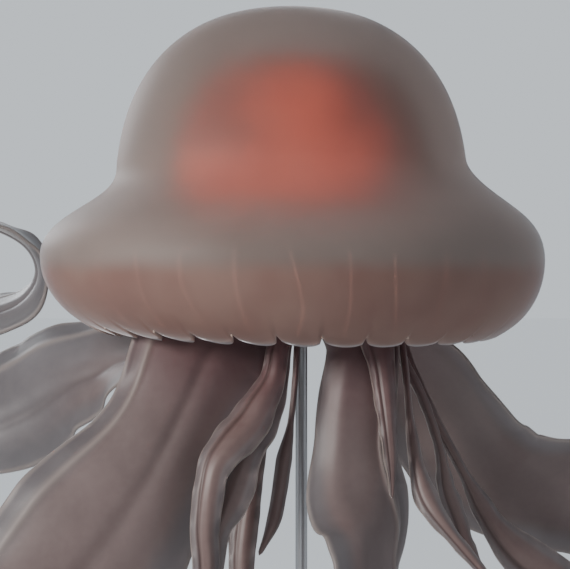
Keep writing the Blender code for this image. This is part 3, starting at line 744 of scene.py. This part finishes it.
def make_stomach():
    """Four pouches round a dome, two of them towards the front, all finely folded."""
    wide = CAVITY_RADIUS - SLACK
    bed_rows, side_rows, dome_rows = 10, 12, 35

    def profile(theta):
        groove = LOBE_DEPTH * 0.5 * (1 - math.cos(STOMACH_LOBES * (theta - STOMACH_TURN)))
        bed = (wide - STOMACH_BED) * (1 - groove)
        points = [(bed * i / bed_rows, STOMACH_FLOOR_H) for i in range(bed_rows + 1)]
        for i in range(1, side_rows + 1):
            turn = math.pi / 2 * i / side_rows
            radius = wide - STOMACH_BED * (1 - math.sin(turn))
            h = CUT_H - (CUT_H - STOMACH_FLOOR_H) * math.cos(turn)
            points.append((radius * (1 - groove), h))
        for i in range(1, dome_rows):
            angle = math.pi / 2 * i / dome_rows
            radius, h = cavity_arc(angle)
            waist = 1 - DOME_WAIST * math.sin(2 * angle) ** 2
            points.append(((radius - SLACK) * waist * (1 - groove * math.cos(angle)), h - SLACK))
        return [folded(r, h, theta) for r, h in points] + [(0.0, CAVITY_TOP_H - SLACK)]

    def folded(radius, h, theta):
        wave = math.cos(STOMACH_FOLDS * theta + 2.5 * math.sin(24 * h) + 1.5 * math.sin(3 * theta))
        return radius * (1 - STOMACH_FOLD_DEPTH * (1 + wave) * min(1.0, radius / wide)), h

    settle(spun("stomach_skin", profile, stomach_flesh()), "stomach", "stomach")


def make_mouth(finish):
    """The mouth disc and its waist. Fine folds run out over its underside to the arms."""
    rise = STOMACH_FLOOR_H - MOUTH_H
    sides = [(0, MOUTH_RADIUS - MOUTH_EDGE), (0.09, MOUTH_RADIUS), (0.24, MOUTH_RADIUS - 0.016),
             (0.56, MOUTH_WAIST_RADIUS), (1, MOUTH_TOP_RADIUS - 0.004)]
    under_rows, side_rows = 28, 30

    def profile(theta):
        wave = 0.5 + 0.5 * math.cos(MOUTH_FOLDS * theta + 1.5 * math.sin(4 * theta))
        pillar = PILLAR_DEPTH * math.cos(STOMACH_LOBES * (theta - STOMACH_TURN))
        points = [(0.0, MOUTH_H)]
        for i in range(1, under_rows + 1):
            share = i / under_rows
            sunk = MOUTH_FOLD_DEPTH * wave * math.sin(math.pi * held((share - 0.3) / 0.7)) ** 2
            points.append(((MOUTH_RADIUS - MOUTH_EDGE) * share, MOUTH_H - sunk))
        for i in range(1, side_rows + 1):
            share = i / side_rows
            radius = between(sides, share) * (1 + pillar * math.sin(math.pi * share))
            points.append((radius, MOUTH_H + rise * share))
        return points + [(0.0, STOMACH_FLOOR_H)]

    settle(spun("mouth_disc_skin", profile, finish), "arm", "mouth_disc")


# ---------------------------------------------------------------- ribbons

class Ribbon:
    """A blade that follows a route. Shares run from 0 at the mouth disc to 1 at the tip.
    facing is the plan angle in degrees of the direction across the root. The blade is
    carried along the route without twist, and roll keys (share, degrees) twist it about its
    own run. width keys are (share, metres). thick and edge are the thickness at the middle
    and at the edges, which bend back by cup times the half width and ripple by ruffle over
    each wave of the length. A fine frill and a bead run along them. swell is how far the
    root swells into the mouth disc, and fine is the mesh's steps along and across. Folds are
    (place across, height, half width), and run down the outer face."""

    def __init__(self, route, facing, width, roll, thick=0.022, edge=0.005, cup=0.20, ruffle=0.012,
                 wave=0.42, phase=0.0, frill=0.0024, bead=0.0022, swell=0.016, fine=ARM_FINE,
                 folds=((-0.74, 0.0028, 0.050), (0.10, -0.0030, 0.100), (0.34, 0.0030, 0.180))):
        self.line = through(route)
        self.reach = [0.0]
        for a, b in zip(self.line, self.line[1:]):
            self.reach.append(self.reach[-1] + (b - a).length)
        self.length = self.reach[-1]
        angle = math.radians(facing)
        self.runs = [Vector((0, 0, -1))]
        self.sides = [Vector((math.cos(angle), math.sin(angle), 0))]
        for k in range(1, len(self.line)):
            run = (self.line[min(k + 1, len(self.line) - 1)] - self.line[k - 1]).normalized()
            run = self.runs[0].lerp(run, min(1.0, self.reach[k] / RUN_FADE)).normalized()
            side = self.runs[-1].rotation_difference(run) @ self.sides[-1]
            self.runs.append(run)
            self.sides.append((side - side.dot(run) * run).normalized())
        self.width, self.roll, self.thick, self.edge = width, roll, thick, edge
        self.cup, self.ruffle, self.wave, self.phase = cup, ruffle, wave, phase
        self.frill, self.bead, self.swell, self.fine, self.folds = frill, bead, swell, fine, folds

    def frame(self, share):
        """Middle point, direction across, and direction out of the outer face."""
        want = min(max(share, 0.0), 1.0) * self.length
        i = next((k for k, r in enumerate(self.reach[1:]) if r >= want), len(self.line) - 2)
        t = (want - self.reach[i]) / (self.reach[i + 1] - self.reach[i])
        middle, run, side = (
            kept[i].lerp(kept[i + 1], t) for kept in (self.line, self.runs, self.sides))
        run.normalize()
        side = (side - side.dot(run) * run).normalized()
        angle = math.radians(between(self.roll, share))
        across = side * math.cos(angle) + run.cross(side) * math.sin(angle)
        return middle, across, run.cross(across)

    def fold(self, run, u):
        """Height of the folds at a length along and a place across, then how much of it is a
        narrow ridge, and how much a groove."""
        drift = 0.035 * math.sin(5.0 * run + self.phase)
        height, ridge, groove = 0.0, 0.0, 0.0
        for place, rise, wide in self.folds:
            here = math.exp(-((u - place - drift) / wide) ** 2)
            height += rise * here
            if rise < 0:
                groove += here
            elif wide < NARROW_FOLD:
                ridge += here
        return height, ridge, groove

    def row(self, share, places):
        """The blade's two faces at each place across it, from -1 to 1, then each place's
        ridge and groove."""
        middle, across, out = self.frame(share)
        middle = middle + Vector((0, 0, MARGIN_Z))
        run = share * self.length
        free = min(1.0, run / FREE_FADE)
        root = self.swell * max(0.0, 1 - run / ROOT_FLARE) ** 2
        half = between(self.width, share) / 2
        rippled, detailed = min(1.0, half / RIPPLE_FULL), min(1.0, half / DETAIL_FULL)
        rounding = 1 - min(1.0, (1 - share) * self.length / (TIP_ROUND * half))
        taper = max(TIP_BLUNT, math.sqrt(1 - rounding * rounding))
        half *= taper
        wave = math.tau * run / self.wave
        flutter = wave / FRILL_WAVE + 2.4 * math.sin(6.0 * run + self.phase)
        outer, inner, ridges, grooves = [], [], [], []
        for u in places:
            ripple = self.ruffle * rippled * u ** 3 * math.sin(wave + self.phase + 0.9 * u)
            frill = self.frill * detailed * abs(u) ** 5 * math.sin(flutter + 1.5 * u)
            bend = free * (self.cup * half * u * u + ripple + frill)
            bead = self.bead * detailed * math.exp(-((abs(u) - BEAD_PLACE) / BEAD_WIDTH) ** 2)
            thick = self.edge + (self.thick * (1 - THINNING * share) - self.edge) * (1 - u * u)
            thick = (thick + bead + 2 * root) * (0.3 + 0.7 * taper)
            height, ridge, groove = self.fold(run, u)
            reach = half * (1 - 0.12 * self.cup * u * u) + root
            at = middle + across * u * reach - out * bend
            outer.append(at + out * (thick / 2 + height * free * detailed))
            inner.append(at - out * thick / 2)
            ridges.append(ridge * free)
            grooves.append(groove * free)
        return outer, inner, ridges, grooves

    def skin(self, name, finish):
        """The whole blade as one closed skin with rounded edges."""
        step, column = self.fine
        widest = max(w for _, w in self.width)
        columns = max(10, 2 * round(widest / column / 2))
        rows = max(8, round(self.length / step))
        even = [2 * j / columns - 1 for j in range(columns + 1)]
        places = [0.65 * u + 0.35 * math.sin(math.pi / 2 * u) for u in even]    # closer at the rims
        points, along, side, ridge, groove = [], [], [], [], []
        for i in range(rows + 1):
            outer, inner, ridges, grooves = self.row(i / rows, places)
            points += outer + inner
            along += [i / rows * self.length] * (2 * columns + 2)
            side += places + places
            ridge += ridges + [0.0] * (columns + 1)
            groove += grooves + [0.0] * (columns + 1)
        n, faces = columns + 1, []
        for a in range(0, 2 * n * rows, 2 * n):
            b = a + 2 * n
            for j in range(columns):
                faces.append((a + j, b + j, b + j + 1, a + j + 1))
                faces.append((n + a + j, n + a + j + 1, n + b + j + 1, n + b + j))
            faces.append((a, n + a, n + b, b))
            faces.append((a + columns, b + columns, n + b + columns, n + a + columns))
        last = 2 * n * rows
        for j in range(columns):
            faces.append((j, j + 1, n + j + 1, n + j))
            faces.append((last + j, last + n + j, last + n + j + 1, last + j + 1))
        return add_mesh(name, points, faces, finish,
                        along=along, across=side, ridge=ridge, groove=groove)


ROOT_H = MOUTH_H + 0.003    # the roots run a little way into the mouth disc
ARMS = {
    "front_left": Ribbon(
        [(-0.116, -0.110, ROOT_H), (-0.122, -0.112, 0.060), (-0.172, -0.138, -0.010),
         (-0.218, -0.168, -0.114), (-0.268, -0.200, -0.215), (-0.334, -0.230, -0.320),
         (-0.410, -0.262, -0.430), (-0.520, -0.310, -0.600), (-0.620, -0.340, -0.840),
         (-0.640, -0.340, -1.130), (-0.570, -0.310, -1.430), (-0.520, -0.285, -1.730),
         (-0.580, -0.290, -2.060)],
        facing=2, width=[(0, 0.190), (0.05, 0.270), (0.12, 0.240), (0.24, 0.370), (0.45, 0.340),
                         (0.75, 0.200), (0.94, 0.100), (1, 0.040)],
        roll=[(0, 0), (0.25, 0), (0.55, -30), (0.80, -70), (1, -100)], phase=0.4),
    "front_right": Ribbon(
        [(0.100, -0.125, ROOT_H), (0.104, -0.127, 0.060), (0.137, -0.150, -0.010),
         (0.127, -0.170, -0.114), (0.122, -0.190, -0.207), (0.128, -0.205, -0.283),
         (0.152, -0.222, -0.350), (0.158, -0.240, -0.430), (0.180, -0.300, -0.620),
         (0.260, -0.390, -0.900), (0.330, -0.450, -1.200), (0.320, -0.460, -1.520),
         (0.250, -0.440, -1.800), (0.260, -0.460, -2.100)],
        facing=8, width=[(0, 0.130), (0.05, 0.144), (0.13, 0.160), (0.20, 0.226), (0.40, 0.260),
                         (0.72, 0.180), (0.94, 0.100), (1, 0.040)],
        roll=[(0, 0), (0.150, 0), (0.245, -52), (0.31, -54), (0.55, -7), (0.80, 38), (1, 68)],
        ruffle=0.004, phase=2.1,
        folds=((0.58, 0.0050, 0.045), (0.78, -0.0050, 0.070), (-0.40, 0.0030, 0.220))),
    "back_right": Ribbon(
        [(0.125, 0.100, ROOT_H), (0.130, 0.102, 0.060), (0.195, 0.112, -0.020),
         (0.268, 0.120, -0.072), (0.310, 0.125, -0.130), (0.350, 0.130, -0.196),
         (0.392, 0.135, -0.255), (0.455, 0.145, -0.300), (0.560, 0.160, -0.318),
         (0.700, 0.190, -0.345), (0.830, 0.230, -0.460), (0.895, 0.285, -0.700),
         (0.870, 0.330, -1.000), (0.790, 0.360, -1.300), (0.760, 0.370, -1.600),
         (0.800, 0.380, -1.900)],
        facing=135, width=[(0, 0.150), (0.06, 0.250), (0.14, 0.290), (0.30, 0.290), (0.50, 0.280),
                           (0.78, 0.180), (0.94, 0.100), (1, 0.040)],
        roll=[(0, 0), (0.12, -10), (0.22, -20), (0.34, -40), (0.60, 0), (1, 40)], phase=1.2,
        folds=((0.70, 0.0030, 0.050), (-0.15, -0.0040, 0.090), (-0.40, 0.0032, 0.140))),
    "back_left": Ribbon(
        [(-0.105, 0.115, ROOT_H), (-0.112, 0.120, 0.055), (-0.185, 0.165, -0.020),
         (-0.290, 0.210, -0.045), (-0.370, 0.245, -0.052), (-0.450, 0.285, -0.072),
         (-0.533, 0.330, -0.108), (-0.603, 0.365, -0.148), (-0.700, 0.400, -0.180),
         (-0.850, 0.430, -0.165), (-0.980, 0.445, -0.075), (-1.035, 0.450, 0.070),
         (-0.970, 0.455, 0.205), (-0.830, 0.460, 0.258), (-0.690, 0.465, 0.244),
         (-0.600, 0.475, 0.200), (-0.572, 0.485, 0.135), (-0.612, 0.505, 0.075),
         (-0.700, 0.535, 0.044), (-0.810, 0.580, 0.036),
         (-0.940, 0.650, 0.000), (-1.060, 0.710, -0.120), (-1.090, 0.740, -0.340),
         (-1.020, 0.740, -0.600), (-0.930, 0.710, -0.880), (-0.920, 0.690, -1.180),
         (-0.980, 0.690, -1.460)],
        facing=235, width=[(0, 0.140), (0.04, 0.190), (0.10, 0.270), (0.16, 0.300), (0.22, 0.260),
                           (0.29, 0.160), (0.50, 0.150), (0.68, 0.200), (0.94, 0.090), (1, 0.040)],
        roll=[(0, 0), (0.065, 0), (0.115, -65), (0.15, -82), (0.20, -80), (0.28, 0), (0.60, 0),
              (0.75, 30), (1, 60)], phase=3.0,
        folds=((-0.62, 0.0026, 0.055), (0.30, -0.0032, 0.090), (0.05, 0.0024, 0.160))),
}


def lip(route, facing, width, roll, **shape):
    """A narrow ribbon beside an arm."""
    return Ribbon(route, facing, width, roll, thick=0.010, edge=0.004, cup=0.35, ruffle=0.006,
                  wave=0.26, frill=0.0030, swell=0.006, fine=LIP_FINE,
                  folds=((-0.42, -0.0026, 0.11), (0.20, 0.0022, 0.26)), **shape)


LIPS = {
    "lip_front_left_outer": lip(
        [(-0.012, -0.190, ROOT_H), (-0.014, -0.192, 0.060), (-0.026, -0.208, -0.010),
         (-0.038, -0.226, -0.070), (-0.062, -0.244, -0.112), (-0.084, -0.258, -0.148),
         (-0.117, -0.276, -0.185), (-0.143, -0.290, -0.222), (-0.154, -0.298, -0.270),
         (-0.160, -0.300, -0.345), (-0.156, -0.300, -0.420), (-0.165, -0.300, -0.540)],
        0, [(0, 0.034), (0.20, 0.046), (0.42, 0.086), (0.60, 0.062), (0.80, 0.054), (1, 0.014)],
        [(0, 0), (0.5, 12), (1, -30)], phase=0.5),
    "lip_front_left_inner": lip(
        [(-0.002, -0.152, ROOT_H), (-0.004, -0.154, 0.060), (-0.018, -0.172, -0.020),
         (-0.030, -0.198, -0.095), (-0.058, -0.226, -0.160), (-0.088, -0.248, -0.206),
         (-0.102, -0.258, -0.250), (-0.121, -0.266, -0.298), (-0.140, -0.270, -0.345),
         (-0.145, -0.270, -0.400), (-0.140, -0.270, -0.500)],
        -5, [(0, 0.026), (0.25, 0.036), (0.50, 0.066), (0.65, 0.080), (0.80, 0.050), (1, 0.012)],
        [(0, 0), (0.5, 10), (1, -10)], phase=1.9),
    "lip_front_left_leaf": lip(
        [(-0.044, -0.070, ROOT_H), (-0.045, -0.072, 0.060), (-0.052, -0.090, -0.060),
         (-0.064, -0.120, -0.200), (-0.085, -0.150, -0.320), (-0.096, -0.170, -0.430),
         (-0.088, -0.180, -0.560), (-0.090, -0.185, -0.680)],
        -5, [(0, 0.030), (0.40, 0.036), (0.60, 0.054), (0.85, 0.045), (1, 0.012)],
        [(0, 0), (0.6, 0), (1, -40)], phase=3.3),
    "lip_front_left_strip": lip(
        [(0.014, -0.092, ROOT_H), (0.013, -0.094, 0.060), (0.008, -0.120, -0.060),
         (-0.002, -0.150, -0.160), (-0.014, -0.178, -0.225), (-0.024, -0.195, -0.290),
         (-0.036, -0.200, -0.345), (-0.062, -0.200, -0.405)],
        8, [(0, 0.014), (0.48, 0.012), (0.66, 0.032), (0.84, 0.030), (1, 0.010)],
        [(0, 0), (0.6, 0), (1, 10)], phase=5.0),
    "lip_front_right_outer": lip(
        [(0.140, -0.178, ROOT_H), (0.144, -0.180, 0.060), (0.166, -0.194, -0.020),
         (0.175, -0.208, -0.085), (0.181, -0.224, -0.150), (0.186, -0.238, -0.220),
         (0.186, -0.252, -0.290)],
        8, [(0, 0.050), (0.25, 0.066), (0.45, 0.048), (0.75, 0.034), (1, 0.010)],
        [(0, 0), (0.4, 0), (1, -20)], phase=0.2),
    "lip_front_right_strand": lip(
        [(0.188, -0.104, ROOT_H), (0.191, -0.107, 0.060), (0.212, -0.128, -0.010),
         (0.221, -0.148, -0.085), (0.225, -0.165, -0.145), (0.231, -0.185, -0.200),
         (0.238, -0.205, -0.245), (0.252, -0.225, -0.290), (0.272, -0.240, -0.325),
         (0.300, -0.250, -0.362), (0.328, -0.256, -0.395), (0.356, -0.260, -0.430),
         (0.385, -0.262, -0.480)],
        20, [(0, 0.016), (0.35, 0.014), (0.52, 0.028), (0.64, 0.048), (0.80, 0.028), (1, 0.012)],
        [(0, 0), (0.5, 14), (1, 14)], phase=1.1),
    "lip_back_right_outer": lip(
        [(0.196, 0.020, ROOT_H), (0.198, 0.020, 0.060), (0.232, 0.010, -0.040),
         (0.280, 0.000, -0.150), (0.328, 0.000, -0.240), (0.352, 0.000, -0.285),
         (0.380, 0.002, -0.335), (0.412, 0.005, -0.385), (0.465, 0.015, -0.440),
         (0.560, 0.040, -0.510), (0.660, 0.070, -0.620)],
        20, [(0, 0.026), (0.45, 0.022), (0.56, 0.050), (0.72, 0.096), (0.86, 0.100), (1, 0.014)],
        [(0, 0), (0.5, 20), (1, 10)], phase=2.3),
    "lip_back_right_inner": lip(
        [(0.166, -0.050, ROOT_H), (0.170, -0.050, 0.060), (0.210, -0.050, -0.020),
         (0.260, -0.050, -0.120), (0.292, -0.052, -0.215), (0.306, -0.055, -0.290),
         (0.321, -0.058, -0.335), (0.333, -0.062, -0.370), (0.348, -0.068, -0.412),
         (0.376, -0.080, -0.455)],
        20, [(0, 0.022), (0.55, 0.020), (0.76, 0.046), (0.90, 0.036), (1, 0.012)],
        [(0, 0), (1, 0)], phase=4.1),
    "lip_back_left_outer": lip(
        [(-0.190, 0.020, ROOT_H), (-0.193, 0.022, 0.060), (-0.222, 0.050, -0.060),
         (-0.262, 0.070, -0.180), (-0.290, 0.080, -0.300), (-0.300, 0.085, -0.420),
         (-0.285, 0.085, -0.540)],
        265, [(0, 0.050), (0.35, 0.080), (0.60, 0.070), (0.85, 0.044), (1, 0.012)],
        [(0, 0), (0.5, 60), (1, 80)], phase=0.9),
    "lip_back_left_inner": lip(
        [(-0.030, 0.110, ROOT_H), (-0.032, 0.113, 0.060), (-0.050, 0.140, -0.060),
         (-0.075, 0.170, -0.180), (-0.100, 0.190, -0.310), (-0.110, 0.200, -0.440),
         (-0.095, 0.200, -0.600)],
        200, [(0, 0.050), (0.30, 0.070), (0.60, 0.064), (0.85, 0.040), (1, 0.012)],
        [(0, 0), (0.6, 20), (1, 50)], phase=5.2),
}


def make_arms(finish):
    for place, ribbon in ARMS.items():
        lengths = sorted(n for n in NODES if n.startswith("arm_" + place + "_"))
        settle(ribbon.skin("arm_" + place, finish), "arm", *lengths)


def make_lips(finish):
    for name, ribbon in LIPS.items():
        settle(ribbon.skin(name + "_skin", finish), "lip", name)


# ---------------------------------------------------------------- stand, floor, light, camera

def dress_stand():
    base, steel = base_paint(), rod_steel()
    for name, finish, slot in (
            ("stand_base", base, "stand_base"), ("stand_collar", steel, "stand_rod"),
            ("stand_rod", steel, "stand_rod"), ("stand_pad", steel, "stand_rod")):
        NODES[name].data.materials.clear()
        NODES[name].data.materials.append(finish)


def make_floor():
    half = FLOOR_SIZE / 2
    finish = Finish("floor_paint", roughness=0.8)
    finish.set("Base Color", (0.93, 0.93, 0.93))
    corners = [(-half, -half, 0), (half, -half, 0), (half, half, 0), (-half, half, 0)]
    floor = add_mesh("floor", corners, [(0, 1, 2, 3)], finish.material)


def add_lamp(name, place, size, power, colour):
    light = bpy.data.lights.new(name, "AREA")
    light.size, light.energy, light.color = size, power, colour
    lamp = add_object(name, light)
    lamp.location = place
    lamp.rotation_euler = (Vector(LAMP_AIM) - Vector(place)).to_track_quat("-Z", "Y").to_euler()


def light_studio():
    world = bpy.data.worlds.new("studio")
    world.use_nodes = True
    shade = world.node_tree.nodes["Background"]
    shade.inputs["Color"].default_value = SKY_COLOUR
    shade.inputs["Strength"].default_value = SKY_STRENGTH
    bpy.context.scene.world = world
    for name, lamp in LAMPS.items():
        add_lamp(name, *lamp)


def add_camera():
    lens = bpy.data.cameras.new("camera")
    lens.lens = CAMERA_LENS
    lens.clip_end = 500.0
    camera = add_object("camera", lens)
    camera.location = CAMERA_PLACE
    camera.rotation_euler = (math.pi / 2, 0.0, 0.0)
    bpy.context.scene.camera = camera


arm_finish, lip_finish = arm_jelly(), lip_jelly()
make_bell()
make_canals()
make_sense_organs()
make_stomach()
make_mouth(arm_finish)
make_arms(arm_finish)
make_lips(lip_finish)
dress_stand()
make_floor()
light_studio()
add_camera()
